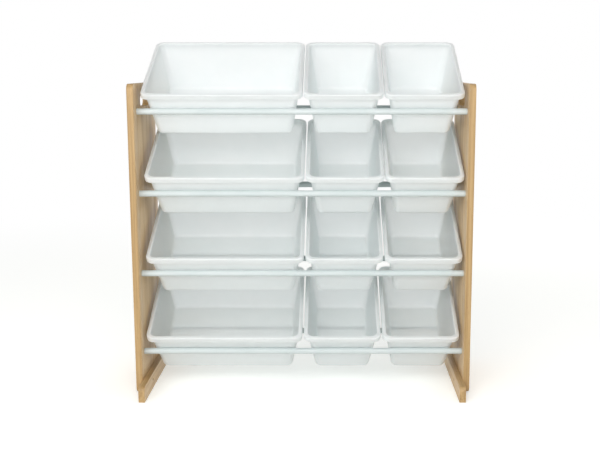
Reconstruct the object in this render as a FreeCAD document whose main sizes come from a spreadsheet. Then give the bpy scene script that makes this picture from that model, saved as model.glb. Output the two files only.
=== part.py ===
import FreeCAD, Part
import math
import os
import Sketcher

# A free-standing toy organizer. Two board side panels stand on foot rails and are tied together by
# eight white tubes in four rows. Each row carries one wide bin and two narrow ones. A bin leans
# forwards between its two tubes: its floor lies on the rear tube, and its front wall leans on the
# front tube, under the turned-down rim.
#
# Frame: X to the right, Y to the rear, Z up. The origin is on the floor, midway between the panels
# and halfway along the foot rails. All lengths are in millimetres and all angles in degrees.

os.makedirs("parts", exist_ok=True)
doc = FreeCAD.newDocument("ToyOrganizer")

# ---------------------------------------------------------------- driving sizes

SIZES = {
    # side panels
    "inner_width": 827.0,        # between the panels' inner faces
    "panel_thickness": 16.0,
    "panel_depth": 288.0,
    "panel_height": 790.0,
    "panel_lift": 6.0,           # the panel's bottom edge above the floor
    "panel_set_back": 56.0,      # the panel's front edge behind the foot rail's front end
    "panel_corner": 16.0,        # rounding of the panel's four corners
    # hand-hold slot near the top of each panel
    "grip_length": 114.0,
    "grip_height": 30.0,
    "grip_drop": 44.0,           # slot's centre line below the panel's top edge
    # foot rails on the panels' inner faces
    "foot_length": 372.0,
    "foot_height": 40.0,
    "foot_thickness": 16.0,
    "foot_nose": 11.0,           # rounding of the top front corner
    "foot_screw_height": 23.0,
    "foot_screw_front": 115.0,   # front screw behind the rail's front end
    "foot_screw_pitch": 190.0,
    "foot_dowel_inset": 50.0,    # each dowel lies this far inside of its screw
    # tubes
    "tube_diameter": 16.0,
    "tube_wall": 1.2,
    "tube_inset": 42.0,          # front tube's centre behind the panel's front edge
    "tube_spacing": 193.0,       # from the front tube's centre to the rear tube's
    "lowest_tube": 106.0,        # height of the lowest row's tubes
    "row_pitch": 207.0,
    # plugs in the tubes' ends, and the bolts that hold them
    "plug_length": 24.0,
    "plug_bore": 6.0,
    "fit_gap": 0.1,              # radial clearance of a plug, a bolt, a screw or a dowel
    "bolt_length": 35.0,
    "bolt_head": 12.0,
    "bolt_head_height": 3.0,
    "screw_shank": 5.0,
    "screw_length": 22.0,
    "screw_head": 9.0,
    "screw_head_height": 3.5,
    "screw_recess": 5.0,         # depth of the counterbore that the head sits in
    "dowel_diameter": 8.0,
    "dowel_length": 20.0,
    "dowel_end_gap": 0.5,        # room past each end of a dowel
    # bins
    "wide_bin": 403.0,
    "narrow_bin": 199.0,
    "rim_length": 298.0,         # front to rear, along the slope
    "bin_depth": 130.0,          # rim's top to the floor's underside
    "bin_wall": 2.2,
    "bin_draft": 9.0,            # each wall's lean outwards
    "bin_corner": 17.0,          # rounding of the walls' upright corners
    "rim_corner": 20.0,          # rounding of the rim's corners
    "floor_bevel": 9.0,          # bevel between the walls and the floor
    "rim_overhang": 8.0,         # rim's outer edge outside the wall's top
    "rim_drop": 14.0,            # height of the turned-down skirt
    "rim_gauge": 2.0,            # thickness of the rim's top and skirt
    "bin_tilt": 27.0,            # slope of a resting bin, front end down
    "seat_gap": 0.3,             # between a bin and each tube it rests on
}

# Clear space on the left of the wide, the middle and the right bin of each row, from the top row down.
SIDE_PLAY = (
    (12.5, 3.0, 2.5),
    (16.0, 3.6, 1.8),
    (13.7, 4.0, 3.6),
    (8.6, 4.2, 4.2),
)
ROWS = len(SIDE_PLAY)
BINS = ("wide", "middle", "right")

sheet = doc.addObject("Spreadsheet::Sheet", "Sizes")
for row_number, (word, number) in enumerate(SIZES.items(), start=1):
    sheet.set("A%d" % row_number, word)
    sheet.set("B%d" % row_number, str(number))
    sheet.setAlias("B%d" % row_number, word)
for row, plays in enumerate(SIDE_PLAY, start=1):
    for place, number in enumerate(plays):
        cell = "%s%d" % ("DEF"[place], row)
        sheet.set(cell, str(number))
        sheet.setAlias(cell, "play_%s_row_%d" % (BINS[place], row))
doc.recompute()

# ---------------------------------------------------------------- sizes that follow from those

FOLLOWS = {
    "tube_radius": "Sizes.tube_diameter / 2",
    "seat_radius": "Sizes.tube_diameter / 2 + Sizes.seat_gap",
    "foot_front": "-Sizes.foot_length / 2",
    "panel_front": "foot_front + Sizes.panel_set_back",
    "front_tube_y": "panel_front + Sizes.tube_inset",
    "rear_tube_y": "front_tube_y + Sizes.tube_spacing",
    "panel_inner": "Sizes.inner_width / 2",
    "foot_inner": "Sizes.inner_width / 2 - Sizes.foot_thickness",
    "plug_radius": "Sizes.tube_diameter / 2 - Sizes.tube_wall - Sizes.fit_gap",
    "bolt_radius": "Sizes.plug_bore / 2 - Sizes.fit_gap",
    "screw_hole": "Sizes.screw_shank / 2 + Sizes.fit_gap",
    "screw_hole_depth": "Sizes.screw_recess - Sizes.screw_head_height + Sizes.screw_length"
                        " - Sizes.foot_thickness",
    "dowel_hole": "Sizes.dowel_diameter / 2 + Sizes.fit_gap",
    "dowel_half_hole": "Sizes.dowel_length / 2 + Sizes.dowel_end_gap",
    "floor_inset": "Sizes.rim_overhang + Sizes.bin_depth * tan(Sizes.bin_draft)",
    # the front tube's centre in a bin's own frame: up from the floor, and back from the rim's edge
    "tube_up": "Sizes.tube_spacing * sin(Sizes.bin_tilt) - seat_radius",
    "tube_back": "floor_inset - tube_up * tan(Sizes.bin_draft) - seat_radius / cos(Sizes.bin_draft)",
    # the bin's own origin, seen from the front tube's centre
    "bin_back": "tube_up * sin(Sizes.bin_tilt) - tube_back * cos(Sizes.bin_tilt)",
    "bin_down": "tube_back * sin(Sizes.bin_tilt) + tube_up * cos(Sizes.bin_tilt)",
}

worked = doc.addObject("Spreadsheet::Sheet", "Worked")
for row_number, (word, formula) in enumerate(FOLLOWS.items(), start=1):
    worked.set("A%d" % row_number, word)
    worked.set("B%d" % row_number, "=" + formula)
    worked.setAlias("B%d" % row_number, word)
doc.recompute()


def size(word):
    """The number that a word stands for, from either sheet."""
    return float(getattr(sheet if word in sheet_words else worked, word))


sheet_words = set(SIZES) | {"play_%s_row_%d" % (name, row + 1) for name in BINS for row in range(ROWS)}

# ---------------------------------------------------------------- helpers

X_AXIS = FreeCAD.Vector(1, 0, 0)
Y_AXIS = FreeCAD.Vector(0, 1, 0)
Z_AXIS = FreeCAD.Vector(0, 0, 1)
SKETCH_ORIGIN = (-1, 1)
SKETCH_X_AXIS = -1
CLOSE = 1e-4
CORNER_FACETS = 4             # chords in each round corner of a bin's rim
OCTAGON = 8
OCTAGON_STEP = 360 / OCTAGON  # angle between an octagon's corners
FIRST_CORNER = -67.5          # an octagon's first corner, so that two of its sides are upright


def bind(thing, **formulas):
    """Ties properties to formulas. Two underscores in a name stand for a dot."""
    for path, formula in formulas.items():
        thing.setExpression(path.replace("__", "."), formula)


def new_body(label):
    """An empty solid body with a label of its own."""
    body = doc.addObject("PartDesign::Body", "Body")
    body.Label = label
    return body


def new_sketch(body, name, plane, lift=None):
    """A sketch on one of the body's own planes, lifted along the plane's normal by a formula."""
    sketch = body.newObject("Sketcher::SketchObject", name)
    sketch.AttachmentSupport = [(next(f for f in body.Origin.OriginFeatures if f.Role == plane), "")]
    sketch.MapMode = "FlatFace"
    if lift:
        bind(sketch, AttachmentOffset__Base__z=lift)
    return sketch


def value(thing, formula):
    """The number that a formula gives now."""
    return float(thing.evalExpression(formula))


def fix(sketch, kind, *places, formula):
    """A dimension of a sketch, bound to a formula."""
    index = sketch.addConstraint(Sketcher.Constraint(kind, *places, value(sketch, formula)))
    sketch.setExpression("Constraints[%d]" % index, formula)


def draw_rectangle(sketch, width, depth, near=None):
    """A rectangle with a corner at the origin, or centred on the sketch's upright axis.

    It is centred where near is given, which is the distance of its lower side from the origin.
    """
    corners = [FreeCAD.Vector(x, y, 0) for x, y in ((-20, 5), (20, 5), (20, 50), (-20, 50))]
    sides = [sketch.addGeometry(Part.LineSegment(corners[i], corners[(i + 1) % 4])) for i in range(4)]
    for i in range(4):
        sketch.addConstraint(Sketcher.Constraint("Coincident", sides[i], 2, sides[(i + 1) % 4], 1))
        sketch.addConstraint(Sketcher.Constraint("Horizontal" if i % 2 == 0 else "Vertical", sides[i]))
    fix(sketch, "DistanceX", sides[0], 1, sides[0], 2, formula=width)
    fix(sketch, "DistanceY", sides[1], 1, sides[1], 2, formula=depth)
    if near is None:
        sketch.addConstraint(Sketcher.Constraint("Coincident", sides[0], 1, *SKETCH_ORIGIN))
    else:
        fix(sketch, "DistanceX", *SKETCH_ORIGIN, sides[0], 2, formula="(%s) / 2" % width)
        fix(sketch, "DistanceY", *SKETCH_ORIGIN, sides[0], 2, formula=near)


def draw_octagon(sketch, across, up, radius):
    """A regular octagon for a small round hole or shank. Its corners lie on a circle of this radius."""
    x, y, r = value(sketch, across), value(sketch, up), value(sketch, radius)
    circle = sketch.addGeometry(Part.Circle(FreeCAD.Vector(x, y, 0), Z_AXIS, r), True)
    turns = [math.radians(FIRST_CORNER + OCTAGON_STEP * step) for step in range(OCTAGON)]
    corners = [FreeCAD.Vector(x + r * math.cos(turn), y + r * math.sin(turn), 0) for turn in turns]
    sides = [sketch.addGeometry(Part.LineSegment(corners[i - 1], corners[i])) for i in range(OCTAGON)]
    for i in range(OCTAGON):
        sketch.addConstraint(Sketcher.Constraint("Coincident", sides[i - 1], 2, sides[i], 1))
        sketch.addConstraint(Sketcher.Constraint("PointOnObject", sides[i], 1, circle))
        if i:
            sketch.addConstraint(Sketcher.Constraint("Equal", sides[0], sides[i]))
    sketch.addConstraint(Sketcher.Constraint("Vertical", sides[2]))
    for kind, place, number in (("DistanceX", across, x), ("DistanceY", up, y)):
        if number:
            fix(sketch, kind, *SKETCH_ORIGIN, circle, 3, formula=place)
    if not (x or y):
        sketch.addConstraint(Sketcher.Constraint("Coincident", circle, 3, *SKETCH_ORIGIN))
    fix(sketch, "Radius", circle, formula=radius)


def draw_slot(sketch, across, up, length, height):
    """A level slot with round ends. across and up place its centre."""
    left_end = sketch.addGeometry(Part.ArcOfCircle(
        Part.Circle(FreeCAD.Vector(20, 50, 0), Z_AXIS, 5), math.pi / 2, 3 * math.pi / 2))
    right_end = sketch.addGeometry(Part.ArcOfCircle(
        Part.Circle(FreeCAD.Vector(60, 50, 0), Z_AXIS, 5), -math.pi / 2, math.pi / 2))
    top = sketch.addGeometry(Part.LineSegment(FreeCAD.Vector(20, 55, 0), FreeCAD.Vector(60, 55, 0)))
    bottom = sketch.addGeometry(Part.LineSegment(FreeCAD.Vector(20, 45, 0), FreeCAD.Vector(60, 45, 0)))
    for line, left_place, right_place in ((top, 1, 2), (bottom, 2, 1)):
        sketch.addConstraint(Sketcher.Constraint("Tangent", left_end, left_place, line, 1))
        sketch.addConstraint(Sketcher.Constraint("Tangent", right_end, right_place, line, 2))
    sketch.addConstraint(Sketcher.Constraint("Horizontal", top))
    sketch.addConstraint(Sketcher.Constraint("Equal", left_end, right_end))
    fix(sketch, "Radius", left_end, formula="%s / 2" % height)
    fix(sketch, "DistanceX", left_end, 3, right_end, 3, formula="%s - %s" % (length, height))
    left_centre = "%s - (%s - %s) / 2" % (across, length, height)
    fix(sketch, "DistanceX", *SKETCH_ORIGIN, left_end, 3, formula=left_centre)
    fix(sketch, "DistanceY", *SKETCH_ORIGIN, left_end, 3, formula=up)


def edge_names(shape, wanted):
    """Names of the edges that a test picks out."""
    names = ["Edge%d" % (i + 1) for i, edge in enumerate(shape.Edges) if wanted(edge)]
    if not names:
        raise ValueError("no edge was found")
    return names


def flat_in(edge, axis, height):
    """Whether an edge lies whole in the plane at this height along X (0), Y (1) or Z (2)."""
    box = edge.BoundBox
    low, high = ((box.XMin, box.XMax), (box.YMin, box.YMax), (box.ZMin, box.ZMax))[axis]
    return abs(low - height) < CLOSE and abs(high - height) < CLOSE


def add_feature(body, kind, name, profile=None, **formulas):
    """A PartDesign feature on the body's tip, with its sizes bound to formulas."""
    feature = body.newObject("PartDesign::" + kind, name)
    if profile is not None:
        feature.Profile = profile
    bind(feature, **formulas)
    return feature


def dress(body, kind, name, base, edges, **formulas):
    """A fillet or a chamfer on named edges of the feature before it."""
    doc.recompute()
    feature = body.newObject("PartDesign::" + kind, name)
    feature.Base = (base, edges)
    bind(feature, **formulas)
    doc.recompute()
    return feature


def cut_checked(body, feature):
    """Recomputes a cut and makes sure that it took material away."""
    doc.recompute()
    before = feature.BaseFeature.Shape.Volume
    if not feature.Shape.Volume < before - CLOSE:
        raise ValueError("%s of %s cuts nothing" % (feature.Label, body.Label))
    return feature


def cut_holes(body, name, places, radius, depth, reverse, lift=None):
    """Small holes from one of the body's faces, at places given as (across, up) formulas."""
    sketch = new_sketch(body, name + "Outline", "YZ_Plane", lift)
    for across, up in places:
        draw_octagon(sketch, across, up, radius)
    holes = add_feature(body, "Pocket", name, sketch, Length=depth)
    holes.Reversed = reverse
    cut_checked(body, holes)


# ---------------------------------------------------------------- frame

SIDES = {"left": -1, "right": 1}
TUBE_PLACES = {"front": "Worked.front_tube_y", "rear": "Worked.rear_tube_y"}
# screws and dowels of a foot rail, from the rail's front end
SCREW_PLACES = ("Sizes.foot_screw_front", "(Sizes.foot_screw_front + Sizes.foot_screw_pitch)")
DOWEL_PLACES = ("(Sizes.foot_screw_front + Sizes.foot_dowel_inset)",
                "(Sizes.foot_screw_front + Sizes.foot_screw_pitch - Sizes.foot_dowel_inset)")


def row_height(row):
    """Formula for the height of a row's tubes. Row 1 is the top one."""
    return "Sizes.lowest_tube + %d * Sizes.row_pitch" % (ROWS - row)


def make_side_panel(side):
    """A rounded board with a hand-hold slot, eight bolt holes and the blind holes for its foot rail."""
    sign = SIDES[side]
    body = new_body("%s_side_panel" % side)
    outline = new_sketch(body, "Outline", "YZ_Plane")
    draw_rectangle(outline, "Sizes.panel_depth", "Sizes.panel_height")
    board = add_feature(body, "Pad", "Board", outline, Length="Sizes.panel_thickness")
    board.Reversed = sign < 0
    doc.recompute()
    corners = edge_names(board.Shape, lambda e: abs(e.tangentAt(e.FirstParameter).dot(X_AXIS)) > 1 - CLOSE)
    dress(body, "Fillet", "Corners", board, corners, Radius="Sizes.panel_corner")

    grip_outline = new_sketch(body, "GripOutline", "YZ_Plane")
    draw_slot(grip_outline, "Sizes.panel_depth / 2", "Sizes.panel_height - Sizes.grip_drop",
              "Sizes.grip_length", "Sizes.grip_height")
    grip = add_feature(body, "Pocket", "Grip", grip_outline)
    grip.Type = "ThroughAll"
    grip.Reversed = sign > 0
    cut_checked(body, grip)

    outer_face = "%d * Sizes.panel_thickness" % sign
    bolts = [("%s - Worked.panel_front" % place, "%s - Sizes.panel_lift" % row_height(row))
             for place in TUBE_PLACES.values() for row in range(1, ROWS + 1)]
    screws, dowels = ([("%s - Sizes.panel_set_back" % place, "Sizes.foot_screw_height - Sizes.panel_lift")
                       for place in places] for places in (SCREW_PLACES, DOWEL_PLACES))
    cut_holes(body, "BoltHoles", bolts, "Sizes.plug_bore / 2", "Sizes.panel_thickness", sign < 0, outer_face)
    cut_holes(body, "BoltRecesses", bolts, "Sizes.bolt_head / 2 + Sizes.fit_gap", "Sizes.bolt_head_height",
              sign < 0, outer_face)
    cut_holes(body, "ScrewHoles", screws, "Worked.screw_hole", "Worked.screw_hole_depth", sign > 0)
    cut_holes(body, "DowelHoles", dowels, "Worked.dowel_hole", "Worked.dowel_half_hole", sign > 0)

    bind(body, Placement__Base__x="%d * Worked.panel_inner" % sign,
         Placement__Base__y="Worked.panel_front", Placement__Base__z="Sizes.panel_lift")
    return body


def make_foot_rail(side):
    """A rail along the floor on the panel's inner face, with its top front corner rounded."""
    sign = SIDES[side]
    body = new_body("%s_foot_rail" % side)
    outline = new_sketch(body, "Outline", "YZ_Plane")
    draw_rectangle(outline, "Sizes.foot_length", "Sizes.foot_height")
    rail = add_feature(body, "Pad", "Rail", outline, Length="Sizes.foot_thickness")
    rail.Reversed = sign > 0
    doc.recompute()
    nose = edge_names(rail.Shape, lambda e: flat_in(e, 1, 0) and flat_in(e, 2, size("foot_height")))
    dress(body, "Fillet", "Nose", rail, nose, Radius="Sizes.foot_nose")

    inner_face = "%d * Sizes.foot_thickness" % -sign
    screws, dowels = ([(place, "Sizes.foot_screw_height") for place in places]
                      for places in (SCREW_PLACES, DOWEL_PLACES))
    cut_holes(body, "ScrewHoles", screws, "Worked.screw_hole", "Sizes.foot_thickness", sign > 0, inner_face)
    cut_holes(body, "ScrewRecesses", screws, "Sizes.screw_head / 2 + Sizes.fit_gap", "Sizes.screw_recess",
              sign > 0, inner_face)
    cut_holes(body, "DowelHoles", dowels, "Worked.dowel_hole", "Worked.dowel_half_hole", sign < 0)

    bind(body, Placement__Base__x="%d * Worked.panel_inner" % sign, Placement__Base__y="Worked.foot_front")
    return body


def make_tube(place, row):
    """A hollow tube from panel to panel."""
    label = "row_%d_%s_tube" % (row, place)
    wall = doc.addObject("Part::Cylinder", "TubeOutside")
    bore = doc.addObject("Part::Cylinder", "TubeBore")
    bind(wall, Radius="Worked.tube_radius", Height="Sizes.inner_width")
    bind(bore, Radius="Worked.tube_radius - Sizes.tube_wall", Height="Sizes.inner_width")
    tube = doc.addObject("Part::Cut", "Tube")
    tube.Base = wall
    tube.Tool = bore
    tube.Label = label
    tube.Placement = FreeCAD.Placement(FreeCAD.Vector(), FreeCAD.Rotation(Y_AXIS, 90))
    bind(tube, Placement__Base__x="-Worked.panel_inner", Placement__Base__y=TUBE_PLACES[place],
         Placement__Base__z=row_height(row))
    return tube


# ---------------------------------------------------------------- fasteners

def make_plug():
    """One plug for a tube's end, along +X from the origin: eight flats outside, and a bore for the bolt."""
    body = new_body("plug_pattern")
    section = new_sketch(body, "Section", "YZ_Plane")
    draw_octagon(section, "0", "0", "Worked.plug_radius")
    draw_octagon(section, "0", "0", "Sizes.plug_bore / 2")
    add_feature(body, "Pad", "Sleeve", section, Length="Sizes.plug_length")
    return body


def make_fastener(label, head_radius, head_height, shank_radius, length):
    """A bolt or a screw along +X, with the face of its head at the origin. Its thread isn't drawn."""
    body = new_body(label)
    head = new_sketch(body, "HeadOutline", "YZ_Plane")
    draw_octagon(head, "0", "0", head_radius)
    add_feature(body, "Pad", "Head", head, Length=head_height)
    shank = new_sketch(body, "ShankOutline", "YZ_Plane")
    draw_octagon(shank, "0", "0", shank_radius)
    add_feature(body, "Pad", "Shank", shank, Length=length)
    return body


def make_bolt():
    """A bolt whose head is sunk flush into the panel and whose shank runs into the plug."""
    return make_fastener("bolt_pattern", "Sizes.bolt_head / 2", "Sizes.bolt_head_height",
                         "Worked.bolt_radius", "Sizes.bolt_length")


def make_screw():
    """A screw that holds a foot rail to its panel."""
    return make_fastener("screw_pattern", "Sizes.screw_head / 2", "Sizes.screw_head_height",
                         "Sizes.screw_shank / 2", "Sizes.screw_length")


def make_group(label, pattern, places):
    """A set of equal pieces: copies of one pattern, each at its own placement."""
    copies = []
    for place in places:
        copy = pattern.Shape.copy()
        copy.Placement = place
        copies.append(copy)
    group = doc.addObject("Part::Feature", "Group")
    group.Label = label
    group.Shape = Part.makeCompound(copies)
    group.Placement = FreeCAD.Placement()
    return group


def facing(sign):
    """Turns a piece that points along +X so that it points along +X or -X."""
    return FreeCAD.Rotation(Z_AXIS, 0 if sign > 0 else 180)


def tube_centres():
    """Y and Z of every tube."""
    return [(size(place + "_tube_y"), size("lowest_tube") + step * size("row_pitch"))
            for place in TUBE_PLACES for step in range(ROWS)]


def inward_places(sign, distance, centres):
    """Placements at a distance from the middle plane, pointing inwards."""
    return [FreeCAD.Placement(FreeCAD.Vector(sign * distance, y, z), facing(-sign)) for y, z in centres]


def make_dowels(side):
    """Two dowels that locate a foot rail on its panel, half in each."""
    sign = SIDES[side]
    pins = []
    for place in DOWEL_PLACES:
        pin = doc.addObject("Part::Prism", "Dowel")
        pin.Polygon = OCTAGON
        bind(pin, Circumradius="Sizes.dowel_diameter / 2", Height="Sizes.dowel_length")
        flats_upright = FreeCAD.Rotation(Z_AXIS, FIRST_CORNER)
        pin.Placement = FreeCAD.Placement(FreeCAD.Vector(), FreeCAD.Rotation(Y_AXIS, 90) * flats_upright)
        bind(pin, Placement__Base__x="%d * Worked.panel_inner - Sizes.dowel_length / 2" % sign,
             Placement__Base__y="Worked.foot_front + %s" % place,
             Placement__Base__z="Sizes.foot_screw_height")
        pins.append(pin)
    group = doc.addObject("Part::Compound", "Dowels")
    group.Links = pins
    group.Label = "%s_foot_dowels" % side
    return group


# ---------------------------------------------------------------- bins

def faces_of(feature):
    """Names and faces of a feature's shape."""
    return [("Face%d" % (i + 1), face) for i, face in enumerate(feature.Shape.Faces)]


def top_face(feature):
    """Name of the face that looks straight up, in a list."""
    return [name for name, face in faces_of(feature) if face.normalAt(0, 0).z > 1 - CLOSE]


def is_upright(edge):
    """Whether an edge runs from the floor's plane up to the rim's plane."""
    return edge.BoundBox.ZLength > size("bin_depth") - CLOSE


def draw_round_rectangle(sketch, bin_width, inset, radius):
    """A rectangle with round corners, at an inset from the rim's edge.

    Each corner is a run of equal chords on a construction arc, so that its walls are flat faces.
    """
    width = "%s - 2 * (%s)" % (bin_width, inset)
    depth = "Sizes.rim_length - 2 * (%s)" % inset
    w, d, r, y = value(sketch, width), value(sketch, depth), value(sketch, radius), value(sketch, inset)
    centres = [(-w / 2 + r, y + r), (w / 2 - r, y + r), (w / 2 - r, y + d - r), (-w / 2 + r, y + d - r)]
    starts = (math.pi, 1.5 * math.pi, 0.0, 0.5 * math.pi)
    arcs = []
    for (x, y), start in zip(centres, starts):
        circle = Part.Circle(FreeCAD.Vector(x, y, 0), Z_AXIS, r)
        arcs.append(sketch.addGeometry(Part.ArcOfCircle(circle, start, start + math.pi / 2), True))
    lines = []
    for i in range(4):
        ends = sketch.getPoint(arcs[i], 2), sketch.getPoint(arcs[(i + 1) % 4], 1)
        lines.append(sketch.addGeometry(Part.LineSegment(*ends)))
    for i in range(4):
        sketch.addConstraint(Sketcher.Constraint("Tangent", arcs[i], 2, lines[i], 1))
        sketch.addConstraint(Sketcher.Constraint("Tangent", lines[i], 2, arcs[(i + 1) % 4], 1))
        sketch.addConstraint(Sketcher.Constraint("Horizontal" if i % 2 == 0 else "Vertical", lines[i]))
        if i:
            sketch.addConstraint(Sketcher.Constraint("Equal", arcs[0], arcs[i]))
        draw_chords(sketch, arcs[i], centres[i], r, starts[i], lines[i - 1], lines[i])
    fix(sketch, "Radius", arcs[0], formula=radius)
    fix(sketch, "DistanceX", lines[3], 2, lines[1], 1, formula=width)
    fix(sketch, "DistanceX", *SKETCH_ORIGIN, lines[1], 1, formula="(%s) / 2" % width)
    fix(sketch, "DistanceY", lines[0], 1, lines[2], 1, formula=depth)
    if inset == "0":
        sketch.addConstraint(Sketcher.Constraint("PointOnObject", lines[0], 1, SKETCH_X_AXIS))
    else:
        fix(sketch, "DistanceY", *SKETCH_ORIGIN, lines[0], 1, formula=inset)


def draw_chords(sketch, arc, centre, radius, start, line_before, line_after):
    """Equal chords of a quarter arc, from the end of one line to the start of the next."""
    angles = [start + math.pi / 2 * step / CORNER_FACETS for step in range(CORNER_FACETS + 1)]
    points = [FreeCAD.Vector(centre[0] + radius * math.cos(angle), centre[1] + radius * math.sin(angle), 0)
              for angle in angles]
    chords = [sketch.addGeometry(Part.LineSegment(*pair)) for pair in zip(points, points[1:])]
    sketch.addConstraint(Sketcher.Constraint("Coincident", line_before, 2, chords[0], 1))
    for chord, following in zip(chords, chords[1:]):
        sketch.addConstraint(Sketcher.Constraint("Coincident", chord, 2, following, 1))
        sketch.addConstraint(Sketcher.Constraint("PointOnObject", chord, 2, arc))
        sketch.addConstraint(Sketcher.Constraint("Equal", chord, following))
    sketch.addConstraint(Sketcher.Constraint("Coincident", chords[-1], 2, line_after, 1))


def make_bin(kind, row):
    """A moulded bin: drafted walls with round corners, a bevelled edge to its floor and a rim.

    In the bin's own frame, Y runs back from the rim's front edge and Z up from the floor's underside.
    """
    width = "Sizes.wide_bin" if kind == "wide" else "Sizes.narrow_bin"
    body = new_body("row_%d_%s_bin" % (row, kind))

    tub_outline = new_sketch(body, "TubOutline", "XY_Plane", lift="Sizes.bin_depth")
    draw_rectangle(tub_outline, "%s - 2 * Sizes.rim_overhang" % width,
                   "Sizes.rim_length - 2 * Sizes.rim_overhang", near="Sizes.rim_overhang")
    tub = add_feature(body, "Pad", "Tub", tub_outline, Length="Sizes.bin_depth")
    tub.Reversed = True
    doc.recompute()
    draft = body.newObject("PartDesign::Draft", "WallDraft")
    draft.Base = (tub, [name for name, face in faces_of(tub) if abs(face.normalAt(0, 0).z) < CLOSE])
    draft.NeutralPlane = (tub, top_face(tub))
    draft.Reversed = True
    bind(draft, Angle="Sizes.bin_draft")
    doc.recompute()
    corners = dress(body, "Chamfer", "Corners", draft, edge_names(draft.Shape, is_upright),
                    Size="Sizes.bin_corner * (1 - tan(22.5))")
    softer = dress(body, "Chamfer", "SofterCorners", corners, edge_names(corners.Shape, is_upright),
                   Size="Sizes.bin_corner * (tan(22.5) - tan(11.25))")
    bevel = dress(body, "Chamfer", "FloorBevel", softer, edge_names(softer.Shape, lambda e: flat_in(e, 2, 0)),
                  Size="Sizes.floor_bevel")
    hollow = body.newObject("PartDesign::Thickness", "Hollow")
    hollow.Base = (bevel, top_face(bevel))
    hollow.Reversed = True
    hollow.Join = "Intersection"
    bind(hollow, Value="Sizes.bin_wall")
    doc.recompute()

    rim_outline = new_sketch(body, "RimOutline", "XY_Plane", lift="Sizes.bin_depth")
    draw_round_rectangle(rim_outline, width, "0", "Sizes.rim_corner")
    draw_round_rectangle(rim_outline, width, "Sizes.rim_overhang + Sizes.bin_wall / 2",
                         "Sizes.bin_corner - Sizes.bin_wall / 2")
    rim = add_feature(body, "Pad", "RimTop", rim_outline, Length="Sizes.rim_gauge")
    rim.Reversed = True
    skirt_outline = new_sketch(body, "SkirtOutline", "XY_Plane", lift="Sizes.bin_depth")
    draw_round_rectangle(skirt_outline, width, "0", "Sizes.rim_corner")
    draw_round_rectangle(skirt_outline, width, "Sizes.rim_gauge", "Sizes.rim_corner - Sizes.rim_gauge")
    skirt = add_feature(body, "Pad", "Skirt", skirt_outline, Length="Sizes.rim_drop")
    skirt.Reversed = True
    doc.recompute()

    before = ["Sizes.play_wide_row_%d" % row]
    for index in range(BINS.index(kind)):
        before.append("Sizes.wide_bin" if index == 0 else "Sizes.narrow_bin")
        before.append("Sizes.play_%s_row_%d" % (BINS[index + 1], row))
    body.Placement = FreeCAD.Placement(FreeCAD.Vector(), FreeCAD.Rotation(X_AXIS, size("bin_tilt")))
    bind(body, Placement__Rotation__Angle="Sizes.bin_tilt",
         Placement__Base__x="%s + %s / 2 - Worked.panel_inner" % (" + ".join(before), width),
         Placement__Base__y="Worked.front_tube_y + Worked.bin_back",
         Placement__Base__z="%s - Worked.bin_down" % row_height(row))
    return body


# ---------------------------------------------------------------- assembly

pieces = []
for side in SIDES:
    pieces.append(make_side_panel(side))
    pieces.append(make_foot_rail(side))
for row in range(1, ROWS + 1):
    for place in TUBE_PLACES:
        pieces.append(make_tube(place, row))

plug = make_plug()
bolt = make_bolt()
screw = make_screw()
doc.recompute()
screw_centres = [(size("foot_front") + size("foot_screw_front") + step * size("foot_screw_pitch"),
                  size("foot_screw_height")) for step in range(2)]
for side, sign in SIDES.items():
    inner = size("panel_inner")
    pieces.append(make_group("%s_tube_plugs" % side, plug, inward_places(sign, inner, tube_centres())))
    outer = inner + size("panel_thickness")
    pieces.append(make_group("%s_tube_bolts" % side, bolt, inward_places(sign, outer, tube_centres())))
    seat = size("foot_inner") + size("screw_recess") - size("screw_head_height")
    pieces.append(make_group("%s_foot_screws" % side, screw, inward_places(-sign, -seat, screw_centres)))
    pieces.append(make_dowels(side))

for row in range(1, ROWS + 1):
    for kind in BINS:
        pieces.append(make_bin(kind, row))
doc.recompute()

# ---------------------------------------------------------------- checks and files

for thing in doc.Objects:
    faults = [state for state in thing.State if state in ("Invalid", "Error")]
    if faults:
        raise ValueError("%s is %s" % (thing.Label, faults))
for piece in pieces:
    if piece.Shape.isNull() or not piece.Shape.isValid() or not piece.Shape.Solids:
        raise ValueError("%s has no sound shape" % piece.Label)
for piece in pieces:
    piece.Shape.exportStep("parts/%s.step" % piece.Label)
print("%d nodes, %d solids" % (len(pieces), sum(len(piece.Shape.Solids) for piece in pieces)))
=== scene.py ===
import logging
import math
from dataclasses import dataclass, field, replace
from enum import Enum
from typing import Any, Iterable

import bmesh
import bpy
from mathutils import Euler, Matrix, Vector


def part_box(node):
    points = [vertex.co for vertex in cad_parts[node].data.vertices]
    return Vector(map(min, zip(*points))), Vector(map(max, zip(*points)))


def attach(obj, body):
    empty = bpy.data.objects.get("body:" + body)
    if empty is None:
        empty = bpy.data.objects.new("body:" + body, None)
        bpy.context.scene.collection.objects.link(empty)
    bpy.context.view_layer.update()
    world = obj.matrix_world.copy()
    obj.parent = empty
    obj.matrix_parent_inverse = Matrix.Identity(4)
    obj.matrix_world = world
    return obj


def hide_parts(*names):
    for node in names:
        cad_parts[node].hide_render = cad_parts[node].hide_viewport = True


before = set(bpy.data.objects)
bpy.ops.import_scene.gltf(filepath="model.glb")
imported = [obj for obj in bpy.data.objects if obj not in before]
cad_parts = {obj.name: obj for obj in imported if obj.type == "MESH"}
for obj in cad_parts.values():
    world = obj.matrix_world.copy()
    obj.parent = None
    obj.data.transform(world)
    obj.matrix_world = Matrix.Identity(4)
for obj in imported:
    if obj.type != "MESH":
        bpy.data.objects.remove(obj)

logging.basicConfig(level=logging.INFO, format="%(message)s")
log = logging.getLogger("toy_organizer")

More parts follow.
